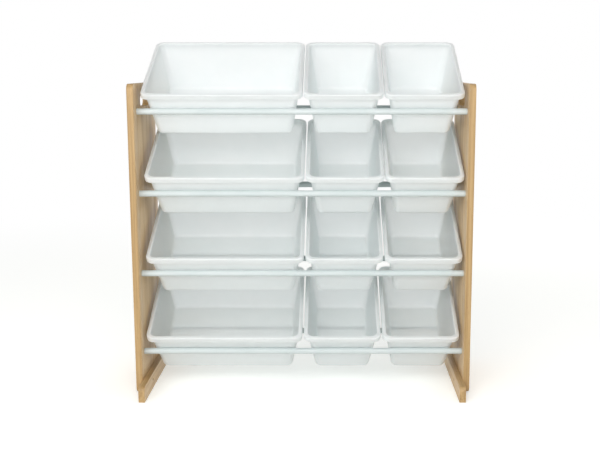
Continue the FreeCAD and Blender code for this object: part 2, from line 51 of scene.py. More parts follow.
MM = 0.001
FRAME_BODY = "frame"
ROUND_STEPS = 48    # flats round a tube or a fastener
Colour = tuple[float, float, float, float]
Point = tuple[float, float, float]
Flat = tuple[float, float]
WHITE: Colour = (1.0, 1.0, 1.0, 1.0)


class Side(Enum):
    """The two ends of the organizer, with the sign of their X."""

    LEFT = -1
    RIGHT = 1

    @property
    def word(self) -> str:
        """The side's word in node names."""
        return self.name.lower()


class Grain(Enum):
    """The way wood grain runs, with the index of its axis."""

    UPRIGHT = 2
    FORE_AND_AFT = 1
    ACROSS = 0


class BinKind(Enum):
    """The bins of one row, from left to right."""

    WIDE = "wide"
    MIDDLE = "middle"
    RIGHT = "right"


class Section(Enum):
    """Outline of a drive recess, seen along its screw."""

    HEXAGON = "hexagon"
    CROSS = "cross"

    def reach(self, angle: float) -> float:
        """How far the outline reaches at an angle, as a factor on its radius.

        Args:
            angle: the angle round the screw, in radians.

        Returns:
            The factor: 1 where a flat or the end of an arm is nearest to the axis.
        """
        if self is Section.HEXAGON:
            return 1 / math.cos((angle + math.pi / 6) % (math.pi / 3) - math.pi / 6)
        arm_half_width = 0.3
        off_axis = abs((angle + math.pi / 4) % (math.pi / 2) - math.pi / 4)
        return min(1 / math.cos(off_axis), arm_half_width / max(math.sin(off_axis), 0.01))


# ---- small tools


def linear(hex_colour: str) -> Colour:
    """Turns an sRGB hex colour into linear light.

    Args:
        hex_colour: six hex digits after a hash.

    Returns:
        Red, green, blue and an alpha of 1.
    """
    parts = [int(hex_colour[i:i + 2], 16) / 255 for i in (1, 3, 5)]
    red, green, blue = (
        p / 12.92 if p <= 0.04045 else ((p + 0.055) / 1.055) ** 2.4 for p in parts)
    return (red, green, blue, 1.0)


def add_node(tree: bpy.types.NodeTree, kind: str, inputs: dict[Any, Any] | None = None,
             **settings: Any) -> Any:
    """Adds a node to a shader or geometry tree.

    Args:
        tree: the tree that gets the node.
        kind: the node's type.
        inputs: sockets to link, or plain values, by input name or number.
        settings: the node's own properties.

    Returns:
        The new node.
    """
    node = tree.nodes.new(kind)
    for name, setting in settings.items():
        setattr(node, name, setting)
    for key, value in (inputs or {}).items():
        if isinstance(value, bpy.types.NodeSocket):
            tree.links.new(value, node.inputs[key])
        else:
            node.inputs[key].default_value = value
    return node


def add_ramp(tree: bpy.types.NodeTree, factor: Any, stops: Iterable[tuple[float, Colour]]) -> Any:
    """Adds a colour ramp.

    Args:
        tree: the shader tree.
        factor: the socket that drives the ramp.
        stops: places from 0 to 1, with their colours.

    Returns:
        The ramp's colour socket.
    """
    ramp = add_node(tree, "ShaderNodeValToRGB", {0: factor})
    stock = ramp.color_ramp.elements
    for number, (place, colour) in enumerate(stops):
        stop = stock[number] if number < 2 else stock.new(place)
        stop.position = place
        stop.color = colour
    return ramp.outputs["Color"]


def make_object(name: str, data: Any) -> bpy.types.Object:
    """Puts new data in the scene as an object at the origin."""
    thing = bpy.data.objects.new(name, data)
    bpy.context.scene.collection.objects.link(thing)
    return thing


def plain_mesh(source: bpy.types.Object, name: str) -> bpy.types.Object:
    """Turns an object with modifiers into one with a plain mesh, and removes the source.

    Args:
        source: the object whose modifiers are still live.
        name: the finished piece's name.

    Returns:
        The finished piece.
    """
    seen = source.evaluated_get(bpy.context.evaluated_depsgraph_get())
    mesh = bpy.data.meshes.new_from_object(seen)
    mesh.name = name
    bpy.data.objects.remove(source)
    return make_object(name, mesh)


def set_inputs(modifier: Any, values: dict[str, Any]) -> None:
    """Sets a geometry tree's named inputs on its modifier, by socket identifier.

    Args:
        modifier: the Nodes modifier.
        values: input names with their values.
    """
    for item in modifier.node_group.interface.items_tree:
        if item.item_type == "SOCKET" and item.in_out == "INPUT" and item.name in values:
            modifier[item.identifier] = values[item.name]


def new_tree(name: str, sockets: dict[str, str]) -> tuple[Any, Any]:
    """Starts a geometry tree.

    Args:
        name: the tree's name.
        sockets: its inputs after the geometry, each with its socket type.

    Returns:
        The tree and its group input node.
    """
    tree = bpy.data.node_groups.new(name, "GeometryNodeTree")
    shape = "NodeSocketGeometry"
    tree.interface.new_socket("Geometry", in_out="INPUT", socket_type=shape)
    for word, kind in sockets.items():
        tree.interface.new_socket(word, in_out="INPUT", socket_type=kind)
    tree.interface.new_socket("Geometry", in_out="OUTPUT", socket_type=shape)
    return tree, add_node(tree, "NodeGroupInput")


def bridge(work: Any, before: list[Any], after: list[Any]) -> None:
    """Joins two rings of corners with faces. A ring with one corner is a pole.

    Args:
        work: the mesh in work.
        before: the first ring.
        after: the next ring.
    """
    count = max(len(before), len(after))
    for i in range(count):
        j = (i + 1) % count
        corners = (before[i % len(before)], before[j % len(before)],
                   after[j % len(after)], after[i % len(after)])
        work.faces.new(list(dict.fromkeys(corners)))


def finished_mesh(work: Any, name: str) -> bpy.types.Mesh:
    """Turns a mesh in work into mesh data whose faces point outwards."""
    mesh = bpy.data.meshes.new(name)
    bmesh.ops.recalc_face_normals(work, faces=work.faces)
    work.to_mesh(mesh)
    work.free()
    return mesh


def arc(centre: Flat, radius: float, first_deg: float, last_deg: float, steps: int) -> list[Flat]:
    """Points of an arc, both ends included.

    Args:
        centre: the arc's centre.
        radius: its radius, in the same unit.
        first_deg: the angle where it starts.
        last_deg: the angle where it ends.
        steps: how many chords it has.

    Returns:
        The points, one more than the chords.
    """
    turn = last_deg - first_deg
    angles = [math.radians(first_deg + turn * i / steps) for i in range(steps + 1)]
    return [(centre[0] + radius * math.cos(a), centre[1] + radius * math.sin(a)) for a in angles]


# ---- finishes


@dataclass(frozen=True)
class Finish:
    """A surface finish: a material that is named for what the real one is."""

    name: str
    slot: str

    def build(self) -> bpy.types.Material:
        """Makes the material once and gives the same one afterwards.

        Returns:
            The material.
        """
        if self.name in bpy.data.materials:
            return bpy.data.materials[self.name]
        material = bpy.data.materials.new(self.name)
        material.use_nodes = True
        tree = material.node_tree
        tree.nodes.clear()
        place = add_node(tree, "ShaderNodeTexCoord").outputs["Object"]
        shader = self.shade(tree, place)
        add_node(tree, "ShaderNodeOutputMaterial", {"Surface": shader})
        return material

    def shade(self, tree: Any, place: Any) -> Any:
        """Builds the shader. Each finish has its own.

        Args:
            tree: the material's tree.
            place: the object coordinates, in metres.

        Returns:
            The shader's socket.
        """
        raise NotImplementedError


@dataclass(frozen=True)
class WoodGrainFoil(Finish):
    """Light oak printed on paper foil over particle board, under a satin clear coat.

    The print gives long pale and brown streaks, soft arches of early wood and short dark pores.
    The coat gives a broad, dull highlight.
    """

    grain: Grain = Grain.UPRIGHT
    pale: str = "#DDBE93"
    mid: str = "#CDA978"
    dark: str = "#B38C5C"
    pore: str = "#8F6A42"
    roughness: float = 0.42
    gloss_play: float = 0.07
    figure_mm: float = 62.0
    figure_length_mm: float = 1100.0
    figure_rings: float = 9.0
    figure_share: float = 0.32
    streak_mm: float = 7.0
    streak_length_mm: float = 480.0
    fibre_mm: float = 1.6     # real fibres are about 0.3 mm, too fine to show
    fibre_length_mm: float = 55.0
    fibre_share: float = 0.3
    pore_mm: float = 1.4
    pore_length_mm: float = 16.0
    pore_strength: float = 0.55
    relief_mm: float = 0.15

    def stretched(self, tree: Any, place: Any, across_mm: float, along_mm: float) -> Any:
        """Scales the coordinates so that one unit is a pattern's own width and length.

        Args:
            tree: the material's tree.
            place: the object coordinates, in metres.
            across_mm: the pattern's width across the grain.
            along_mm: its length along the grain.

        Returns:
            The scaled coordinates' socket.
        """
        scale = [1 / (across_mm * MM)] * 3
        scale[self.grain.value] = 1 / (along_mm * MM)
        return add_node(tree, "ShaderNodeMapping", {"Vector": place, "Scale": scale}).outputs[0]

    def shade(self, tree: Any, place: Any) -> Any:
        """Builds the shader: a printed colour with pores, and a gloss that follows the fibres.

        Args:
            tree: the material's tree.
            place: the object coordinates, in metres.

        Returns:
            The shader's socket.
        """
        drift = add_node(tree, "ShaderNodeTexNoise", {
            "Vector": self.stretched(tree, place, self.figure_mm, self.figure_length_mm),
            "Scale": 1.0, "Detail": 2.0, "Roughness": 0.5})
        figure = add_node(tree, "ShaderNodeMath", {
            0: drift.outputs["Fac"], 1: self.figure_rings}, operation="MULTIPLY")
        rings = add_node(tree, "ShaderNodeMath", {
            0: figure.outputs[0], 1: 1.0}, operation="PINGPONG")
        streak = add_node(tree, "ShaderNodeTexNoise", {
            "Vector": self.stretched(tree, place, self.streak_mm, self.streak_length_mm),
            "Scale": 1.0, "Detail": 3.0, "Roughness": 0.6})
        fibre = add_node(tree, "ShaderNodeTexNoise", {
            "Vector": self.stretched(tree, place, self.fibre_mm, self.fibre_length_mm),
            "Scale": 1.0, "Detail": 2.0, "Roughness": 0.7})
        blend = add_node(tree, "ShaderNodeMix", {
            0: self.figure_share, 2: streak.outputs["Fac"], 3: rings.outputs[0]})
        tone = add_node(tree, "ShaderNodeMix", {
            0: self.fibre_share, 2: blend.outputs[0], 3: fibre.outputs["Fac"]})
        print_colour = add_ramp(tree, tone.outputs[0], (
            (0.30, linear(self.dark)), (0.47, linear(self.mid)), (0.66, linear(self.pale))))
        pores = add_node(tree, "ShaderNodeTexNoise", {
            "Vector": self.stretched(tree, place, self.pore_mm, self.pore_length_mm),
            "Scale": 1.0, "Detail": 1.0, "Roughness": 0.4})
        pore_mask = add_node(tree, "ShaderNodeMapRange", {
            "Value": pores.outputs["Fac"], "From Min": 0.68, "From Max": 0.76,
            "To Max": self.pore_strength})
        colour = add_node(tree, "ShaderNodeMix", {
            0: pore_mask.outputs[0], 6: print_colour, 7: linear(self.pore)}, data_type="RGBA")
        sheen = add_node(tree, "ShaderNodeMapRange", {
            "Value": fibre.outputs["Fac"], "To Min": self.roughness - self.gloss_play,
            "To Max": self.roughness + self.gloss_play})
        bump = add_node(tree, "ShaderNodeBump", {
            "Strength": 0.25, "Distance": self.relief_mm * MM, "Height": tone.outputs[0]})
        return add_node(tree, "ShaderNodeBsdfPrincipled", {
            "Base Color": colour.outputs[2], "Roughness": sheen.outputs[0], "IOR": 1.5,
            "Normal": bump.outputs[0]}).outputs[0]


@dataclass(frozen=True)
class SmoothFinish(Finish):
    """A moulded, painted or plated surface: soft patches of colour and gloss over a fine relief."""

    low: str = "#FFFFFF"
    high: str = "#FFFFFF"
    levels: Flat = (0.35, 0.65)         # the noise's levels where low and high are reached
    patch_mm: float = 100.0
    patch_detail: float = 3.0
    patch_roughness: float = 0.5
    roughness: float = 0.4
    duller: float = 0.0                 # what a low patch adds to the roughness
    glossier: float = 0.0               # what a high patch takes from it
    gloss_levels: Flat = (0.0, 1.0)
    relief_mm: float = 0.0
    relief_width_mm: float = 1.0
    relief_detail: float = 2.0
    relief_strength: float = 0.1
    light_reach_mm: float = 0.0         # how far light spreads below the surface
    ior: float = 1.5
    metallic: float = 0.0

    def shade(self, tree: Any, place: Any) -> Any:
        """Builds the shader. A part that a finish doesn't have is left out.

        Args:
            tree: the material's tree.
            place: the object coordinates, in metres.

        Returns:
            The shader's socket.
        """
        patch = add_node(tree, "ShaderNodeTexNoise", {
            "Vector": place, "Scale": 1 / (self.patch_mm * MM), "Detail": self.patch_detail,
            "Roughness": self.patch_roughness}).outputs["Fac"]
        look = {
            "Base Color": add_ramp(tree, patch, zip(
                self.levels, (linear(self.low), linear(self.high)))),
            "Roughness": self.roughness, "IOR": self.ior, "Metallic": self.metallic}
        if self.duller or self.glossier:
            least, most = self.gloss_levels
            look["Roughness"] = add_node(tree, "ShaderNodeMapRange", {
                "Value": patch, "From Min": least, "From Max": most,
                "To Min": self.roughness + self.duller,
                "To Max": self.roughness - self.glossier}).outputs[0]
        if self.relief_mm:
            relief = add_node(tree, "ShaderNodeTexNoise", {
                "Vector": place, "Scale": 1 / (self.relief_width_mm * MM),
                "Detail": self.relief_detail}).outputs["Fac"]
            look["Normal"] = add_node(tree, "ShaderNodeBump", {
                "Strength": self.relief_strength, "Distance": self.relief_mm * MM,
                "Height": relief}).outputs[0]
        if self.light_reach_mm:
            look |= {"Subsurface Weight": 1.0, "Subsurface Radius": (1.0, 1.0, 1.0),
                     "Subsurface Scale": self.light_reach_mm * MM}
        return add_node(tree, "ShaderNodeBsdfPrincipled", look).outputs[0]


@dataclass(frozen=True)
class MouldedPolypropylene(SmoothFinish):
    """White polypropylene, injection moulded in a finely etched tool.

    Light spreads inside the plastic and comes through the thin walls, so shade inside a bin stays
    soft and slightly cool. The etched surface spreads highlights, and handling leaves faint duller
    patches. The real etching is about 0.1 mm wide, too fine to show.
    """

    low: str = "#EFF8F8"
    high: str = "#F2FAFA"
    levels: Flat = (0.35, 0.62)
    patch_mm: float = 85.0
    patch_roughness: float = 0.55
    roughness: float = 0.38
    duller: float = 0.06
    glossier: float = 0.05
    gloss_levels: Flat = (0.3, 0.7)
    relief_mm: float = 0.05
    relief_width_mm: float = 1.3
    relief_detail: float = 1.0
    relief_strength: float = 0.08
    light_reach_mm: float = 12.0
    ior: float = 1.49


@dataclass(frozen=True)
class PaintedTube(SmoothFinish):
    """White powder coat on drawn steel tube.

    The coat flows out to a slight orange peel with a clear highlight along the tube.
    """

    low: str = "#C4CDCD"
    high: str = "#CBD2D2"
    patch_mm: float = 1000 / 9
    patch_detail: float = 2.0
    roughness: float = 0.34
    relief_mm: float = 0.08
    relief_width_mm: float = 2.2
    relief_strength: float = 0.12


@dataclass(frozen=True)
class ZincPlatedSteel(SmoothFinish):
    """Cold-headed steel with a thin, dull zinc plate.

    Cloudy patches in the plate change its colour and its gloss.
    """

    low: str = "#7F7C75"
    high: str = "#A9A8A2"
    levels: Flat = (0.3, 0.7)
    patch_mm: float = 3.5
    roughness: float = 0.36
    duller: float = 0.12
    glossier: float = 0.08
    metallic: float = 1.0


@dataclass(frozen=True)
class MouldedNylon(SmoothFinish):
    """Off-white nylon, moulded with a dull skin and faint flow marks."""

    low: str = "#C9C8C0"
    high: str = "#DAD9D2"
    patch_mm: float = 6.0
    roughness: float = 0.55
    relief_mm: float = 0.1
    relief_width_mm: float = 6.0
    relief_detail: float = 3.0
    relief_strength: float = 0.2
    ior: float = 1.53


@dataclass(frozen=True)
class StudioPaper(Finish):
    """Seamless white paper, matt, which keeps the object's soft shadow.

    The camera sees it with some light of its own added, so that it is plain white where nothing
    shades it. Far off it is all white.
    """

    base: str = "#F4F5F2"
    lift: float = 0.31
    near_m: float = 1.3
    far_m: float = 3.2

    def shade(self, tree: Any, place: Any) -> Any:
        """Builds the shader: lifted paper that fades to white with distance.

        Args:
            tree: the material's tree.
            place: the object coordinates, in metres.

        Returns:
            The shader's socket.
        """
        paper = add_node(tree, "ShaderNodeBsdfDiffuse", {"Color": linear(self.base)})
        rays = add_node(tree, "ShaderNodeLightPath")
        seen = add_node(tree, "ShaderNodeMath", {
            0: rays.outputs["Is Camera Ray"], 1: rays.outputs["Is Glossy Ray"]},
            operation="MAXIMUM")
        own = add_node(tree, "ShaderNodeMath", {
            0: seen.outputs[0], 1: self.lift}, operation="MULTIPLY")
        glow = add_node(tree, "ShaderNodeEmission", {"Color": WHITE, "Strength": own.outputs[0]})
        lit = add_node(tree, "ShaderNodeAddShader", {0: paper.outputs[0], 1: glow.outputs[0]})
        white = add_node(tree, "ShaderNodeEmission", {"Color": WHITE, "Strength": 1.0})
        reach = add_node(tree, "ShaderNodeVectorMath", {0: place}, operation="LENGTH")
        fade = add_node(tree, "ShaderNodeMapRange", {
            "Value": reach.outputs["Value"], "From Min": self.near_m, "From Max": self.far_m},
            interpolation_type="SMOOTHSTEP")
        mix = add_node(tree, "ShaderNodeMath", {
            0: fade.outputs[0], 1: seen.outputs[0]}, operation="MULTIPLY")
        return add_node(tree, "ShaderNodeMixShader", {
            0: mix.outputs[0], 1: lit.outputs[0], 2: white.outputs[0]}).outputs[0]


PANEL_FOIL = WoodGrainFoil("light oak foil, upright", "side_board")
RAIL_FOIL = replace(PANEL_FOIL, name="light oak foil, fore and aft", grain=Grain.FORE_AND_AFT)
# The edge strip is a plastic band, printed darker and browner than the foil, with finer streaks.
PANEL_BAND = WoodGrainFoil(
    "light oak edge band, upright", "side_board", pale="#BE9E6F", mid="#AE8E5F", dark="#9A7A4D",
    pore="#83613B", roughness=0.48, streak_mm=4.0, figure_mm=30.0)
RAIL_BAND = replace(
    PANEL_BAND, name="light oak edge band, fore and aft", grain=Grain.FORE_AND_AFT)
DOWEL_WOOD = WoodGrainFoil(
    "turned beech", "dowel", grain=Grain.ACROSS, pale="#D9B88C", mid="#CDA878", dark="#BE9664",
    pore="#A67C4E", roughness=0.6, streak_mm=2.0)
BIN_PLASTIC = MouldedPolypropylene("white polypropylene, moulded", "bin")
TUBE_PAINT = PaintedTube("white powder coat on tube", "tube")
FASTENER_ZINC = ZincPlatedSteel("zinc plated steel", "fastener")
PLUG_NYLON = MouldedNylon("off-white nylon, moulded", "plug")
PAPER = StudioPaper("white studio paper", "")


# ---- geometry trees


def board_tree() -> Any:
    """Tree that makes a board from flat outlines.

    The outlines lie in the XY plane and are filled with their holes left open, thickened, turned
    upright into the YZ plane and moved to their place. Broad faces and edges get their own finish.

    Returns:
        The geometry tree.
    """
    broad_lean = 0.7    # least X part of a broad face's normal
    tree, given = new_tree("Board", {
        "Thickness": "NodeSocketFloat", "Inner face": "NodeSocketFloat",
        "Broad finish": "NodeSocketMaterial", "Edge finish": "NodeSocketMaterial"})
    outline = given.outputs["Geometry"]
    flat = add_node(tree, "GeometryNodeFillCurve", {"Curve": outline}).outputs[0]
    rise = add_node(tree, "ShaderNodeCombineXYZ", {"Z": given.outputs["Thickness"]})
    raised = add_node(tree, "GeometryNodeExtrudeMesh", {
        "Mesh": flat, "Offset": rise.outputs[0], "Individual": False})
    bottom = add_node(tree, "GeometryNodeFlipFaces", {"Mesh": flat})
    both = add_node(tree, "GeometryNodeJoinGeometry", {0: raised.outputs["Mesh"]})
    tree.links.new(bottom.outputs[0], both.inputs[0])
    closed = add_node(tree, "GeometryNodeMergeByDistance", {
        "Geometry": both.outputs[0], "Distance": 0.01 * MM})
    shift = add_node(tree, "ShaderNodeCombineXYZ", {"X": given.outputs["Inner face"]})
    upright = add_node(tree, "GeometryNodeTransform", {
        "Geometry": closed.outputs[0], "Translation": shift.outputs[0],
        "Rotation": Euler((math.pi / 2, 0.0, math.pi / 2))})
    edged = add_node(tree, "GeometryNodeSetMaterial", {
        "Geometry": upright.outputs[0], "Material": given.outputs["Edge finish"]})
    normal = add_node(tree, "GeometryNodeInputNormal")
    parts = add_node(tree, "ShaderNodeSeparateXYZ", {0: normal.outputs[0]})
    lean = add_node(tree, "ShaderNodeMath", {0: parts.outputs["X"]}, operation="ABSOLUTE")
    broad = add_node(tree, "FunctionNodeCompare", {
        0: lean.outputs[0], 1: broad_lean}, operation="GREATER_THAN")
    done = add_node(tree, "GeometryNodeSetMaterial", {
        "Geometry": edged.outputs[0], "Selection": broad.outputs[0],
        "Material": given.outputs["Broad finish"]})
    add_node(tree, "NodeGroupOutput", {0: done.outputs[0]})
    return tree


def end_tree(tree: Any, copies: Any, finish: Any) -> None:
    """Ends a tree: its copies become real geometry in one finish.

    Args:
        tree: the geometry tree.
        copies: the instances' socket.
        finish: the material's socket.
    """
    real = add_node(tree, "GeometryNodeRealizeInstances", {0: copies})
    done = add_node(tree, "GeometryNodeSetMaterial", {
        "Geometry": real.outputs[0], "Material": finish})
    add_node(tree, "NodeGroupOutput", {0: done.outputs[0]})


def tube_tree() -> Any:
    """Tree that puts a closed straight tube along X at each point.

    Returns:
        The geometry tree.
    """
    tree, given = new_tree("Tubes", {
        "Length": "NodeSocketFloat", "Radius": "NodeSocketFloat", "Finish": "NodeSocketMaterial"})
    half = add_node(tree, "ShaderNodeMath", {
        0: given.outputs["Length"], 1: 0.5}, operation="MULTIPLY")
    minus = add_node(tree, "ShaderNodeMath", {0: half.outputs[0], 1: -1.0}, operation="MULTIPLY")
    start = add_node(tree, "ShaderNodeCombineXYZ", {"X": minus.outputs[0]})
    end = add_node(tree, "ShaderNodeCombineXYZ", {"X": half.outputs[0]})
    line = add_node(tree, "GeometryNodeCurvePrimitiveLine", {
        "Start": start.outputs[0], "End": end.outputs[0]})
    ring = add_node(tree, "GeometryNodeCurvePrimitiveCircle", {
        "Resolution": ROUND_STEPS, "Radius": given.outputs["Radius"]})
    swept = add_node(tree, "GeometryNodeCurveToMesh", {
        "Curve": line.outputs[0], "Profile Curve": ring.outputs[0], "Fill Caps": True})
    placed = add_node(tree, "GeometryNodeInstanceOnPoints", {
        "Points": given.outputs["Geometry"], "Instance": swept.outputs[0]})
    end_tree(tree, placed.outputs[0], given.outputs["Finish"])
    return tree


def fastener_tree() -> Any:
    """Tree that puts a pattern piece at each point, each turned by its own amount about its axis.

    Returns:
        The geometry tree.
    """
    tree, given = new_tree("Fasteners", {
        "Pattern": "NodeSocketObject", "Facing": "NodeSocketFloat", "Seed": "NodeSocketInt",
        "Finish": "NodeSocketMaterial"})
    pattern = add_node(tree, "GeometryNodeObjectInfo", {"Object": given.outputs["Pattern"]})
    spin = add_node(tree, "FunctionNodeRandomValue", {
        "Max": math.tau, "Seed": given.outputs["Seed"]}, data_type="FLOAT")
    own_turn = add_node(tree, "ShaderNodeCombineXYZ", {
        "X": spin.outputs["Value"], "Z": given.outputs["Facing"]})
    placed = add_node(tree, "GeometryNodeInstanceOnPoints", {
        "Points": given.outputs["Geometry"], "Instance": pattern.outputs["Geometry"],
        "Rotation": own_turn.outputs[0]})
    end_tree(tree, placed.outputs[0], given.outputs["Finish"])
    return tree


def run_tree(name: str, source: bpy.types.Object, tree: Any, values: dict[str, Any],
             bevel_mm: float = 0.0, sharp_deg: float = 35.0) -> bpy.types.Object:
    """Runs a geometry tree on a source and gives a plain, smooth-shaded piece.

    Args:
        name: the finished piece's name.
        source: the curve or points that the tree starts from. It is removed.
        tree: the geometry tree.
        values: its named inputs.
        bevel_mm: width of the rounding of sharp edges, or 0 for none.
        sharp_deg: edges sharper than this stay sharp.

    Returns:
        The finished piece, at the origin.
    """
    modifier = source.modifiers.new("Tree", "NODES")
    modifier.node_group = tree
    set_inputs(modifier, values)
    piece = plain_mesh(source, name)
    if bevel_mm:
        edge = piece.modifiers.new("Softened edges", "BEVEL")
        edge.width = bevel_mm * MM
        edge.segments = 3
        edge.limit_method = "ANGLE"
        edge.angle_limit = math.radians(40)
        edge.use_clamp_overlap = True
        piece = plain_mesh(piece, name)
    piece.data.shade_smooth()
    piece.data.set_sharp_from_angle(angle=math.radians(sharp_deg))
    return piece


def settle(piece: bpy.types.Object, body: str, finish: Finish, *nodes: str) -> None:
    """Lets a finished piece stand for its nodes and ride on its body.

    Args:
        piece: the finished piece.
        body: the body that it rides on.
        finish: not used.
        nodes: the nodes that it replaces.
    """
    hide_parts(*nodes)
    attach(piece, body)
    log.info("%s: %d faces, on %s", piece.name, len(piece.data.polygons), body)


# ---- tubes and fasteners


def points_object(name: str, places: Iterable[Point]) -> bpy.types.Object:
    """Makes a mesh object of loose points."""
    mesh = bpy.data.meshes.new(name)
    mesh.from_pydata([tuple(p) for p in places], [], [])
    return make_object(name, mesh)


def turned_mesh(name: str, profile: Iterable[Flat], recess: Section,
                recess_rings: int) -> bpy.types.Object:
    """Turns a profile about the X axis, with a drive recess where it starts.

    Args:
        name: the object's name.
        profile: (x, radius) places in metres, from the recess's middle to the far end on the axis.
        recess: the recess's outline.
        recess_rings: how many of the first places take that outline.

    Returns:
        The object, with closed ends.
    """
    work = bmesh.new()
    angles = [math.tau * step / ROUND_STEPS for step in range(ROUND_STEPS)]
    rings = []
    for number, (x, radius) in enumerate(profile):
        if radius == 0:
            rings.append([work.verts.new((x, 0, 0))])
            continue
        ring = []
        for angle in angles:
            reach = radius * (recess.reach(angle) if number < recess_rings else 1.0)
            ring.append(work.verts.new((x, reach * math.cos(angle), reach * math.sin(angle))))
        rings.append(ring)
    for before, after in zip(rings, rings[1:]):
        bridge(work, before, after)
    return make_object(name, finished_mesh(work, name))


@dataclass
class Tubes:
    """The rows' front and rear tubes. Their length and diameter come from their nodes' boxes."""

    rows: int = 4
    places: tuple[str, ...] = ("front", "rear")

    @property
    def nodes(self) -> list[str]:
        """The tubes' nodes, from the top row down."""
        rows = range(1, self.rows + 1)
        return ["row_%d_%s_tube" % (row, place) for row in rows for place in self.places]

    def centres(self) -> list[Flat]:
        """Y and Z of every tube's centre."""
        boxes = [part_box(node) for node in self.nodes]
        return [((low.y + high.y) / 2, (low.z + high.z) / 2) for low, high in boxes]

    def build(self) -> None:
        """Makes all tubes as one piece."""
        low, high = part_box(self.nodes[0])
        middle = (low.x + high.x) / 2
        places = points_object("tube_places", [(middle, y, z) for y, z in self.centres()])
        piece = run_tree("painted_tubes", places, tube_tree(), {
            "Length": high.x - low.x, "Radius": (high.z - low.z) / 2,
            "Finish": TUBE_PAINT.build()})
        settle(piece, FRAME_BODY, TUBE_PAINT, *self.nodes)


@dataclass
class Fasteners:
    """Fasteners of one kind, on both sides. Each side's node ends in the kind's word."""

    word: str
    heads_inside: bool    # whether their heads look at the organizer's middle
    sharp_deg: float
    seed: int

    def centres(self, side: Side) -> list[Flat]:
        """Y and Z of one side's fasteners. Each kind has its own."""
        raise NotImplementedError

    def pattern(self) -> bpy.types.Object:
        """One fastener along +X, with its head at the origin. Each kind has its own."""
        raise NotImplementedError

    def build(self, tree: Any) -> None:
        """Makes both sides' fasteners.

        Args:
            tree: the fastener tree.
        """
        for side in Side:
            node = "%s_%s" % (side.word, self.word)
            tips_right = (side is Side.LEFT) != self.heads_inside
            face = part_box(node)[0 if tips_right else 1].x
            places = points_object(
                node + "_places", [(face, y, z) for y, z in self.centres(side)])
            pattern = self.pattern()
            piece = run_tree(node + "_set", places, tree, {
                "Pattern": pattern, "Facing": 0.0 if tips_right else math.pi,
                "Seed": self.seed + side.value, "Finish": FASTENER_ZINC.build()},
                sharp_deg=self.sharp_deg)
            bpy.data.objects.remove(pattern)
            settle(piece, FRAME_BODY, FASTENER_ZINC, node)


@dataclass
class TubeBolts(Fasteners):
    """Bolts with hexagon sockets, flush with the panels, one at each end of each tube."""

    word: str = "tube_bolts"
    heads_inside: bool = False
    sharp_deg: float = 30.0
    seed: int = 7
    tubes: Tubes = field(default_factory=Tubes)
    head: float = 6.0 * MM
    head_height: float = 3.0 * MM
    shank: float = 2.9 * MM
    length: float = 35 * MM
    edge: float = 0.5 * MM     # how far its edges are rounded
    key: float = 2.0 * MM      # half of the socket's width across its flats
    key_depth: float = 2.2 * MM
    key_mouth: float = 1.25    # how much wider the socket is at its mouth

    def centres(self, side: Side) -> list[Flat]:
        """Y and Z of one side's bolts, which are the tubes' own."""
        return self.tubes.centres()

    def pattern(self) -> bpy.types.Object:
        """One bolt along +X, with the face of its head at the origin.

        Returns:
            The pattern's object, which the geometry tree copies.
        """
        edge = self.edge
        socket = [(self.key_depth, 0), (self.key_depth, self.key), (0.3 * edge, self.key)]
        head = [(0.0, self.key_mouth * self.key), (0.0, self.head - edge),
                (0.15 * edge, self.head - 0.3 * edge), (edge, self.head),
                (self.head_height, self.head)]
        shank = [(self.head_height, self.shank), (self.length - edge, self.shank),
                 (self.length, self.shank - edge), (self.length, 0)]
        return turned_mesh("bolt_pattern", socket + head + shank, Section.HEXAGON, len(socket))


@dataclass
class FootScrews(Fasteners):
    """Pan-head screws in the foot rails' counterbores."""

    word: str = "foot_screws"
    heads_inside: bool = True
    sharp_deg: float = 40.0
    seed: int = 3
    head: float = 4.5 * MM
    head_height: float = 3.5 * MM
    dome: float = 0.5          # the dome's share of the head's height
    crown: float = 0.4         # the crown's share of the head's radius
    dome_deg: tuple[float, ...] = (18, 35, 50, 70, 90)
    shank: float = 2.5 * MM
    length: float = 22 * MM
    point: float = 3 * MM
    cross_depth: float = 2 * MM
    cross: float = 0.25        # the cross's reach, as a share of the head's radius
    cross_mouth: float = 0.5   # the same at its mouth

    def centres(self, side: Side) -> list[Flat]:
        """Y and Z of one side's screws.

        Args:
            side: the side.

        Returns:
            The front screw's place and the rear one's, from the box of both.
        """
        low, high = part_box("%s_%s" % (side.word, self.word))
        reach = (high.z - low.z) / 2
        middle = (low.z + high.z) / 2
        return [(low.y + reach, middle), (high.y - reach, middle)]

    def pattern(self) -> bpy.types.Object:
        """One screw along +X, with a cross recess in its domed head.

        Returns:
            The pattern's object, which the geometry tree copies.
        """
        rise = self.head_height * self.dome
        dome = [(rise * (1 - math.cos(a)),
                 self.head * (self.crown + (1 - self.crown) * math.sin(a)))
                for a in (math.radians(v) for v in self.dome_deg)]
        cross = [(self.cross_depth, 0), (self.cross_depth, self.cross * self.head),
                 (dome[0][0], self.cross_mouth * self.head)]
        shank = [(self.head_height, self.head), (self.head_height, self.shank),
                 (self.length - self.point, self.shank), (self.length, 0)]
        return turned_mesh("screw_pattern", cross + dome + shank, Section.CROSS, len(cross))


@dataclass
class HiddenFittings:
    """Plugs inside the tubes and dowels inside the boards. Their nodes stay and get a finish."""

    finishes: dict[str, Finish] = field(default_factory=lambda: {
        "tube_plugs": PLUG_NYLON, "foot_dowels": DOWEL_WOOD})

    def build(self) -> None:
        """Gives each node its finish."""
        for side in Side:
            for word, finish in self.finishes.items():
                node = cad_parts["%s_%s" % (side.word, word)]
                for slot in node.material_slots:
                    slot.material = finish.build()
                log.info("%s: %s", node.name, finish.name)


# ---- boards


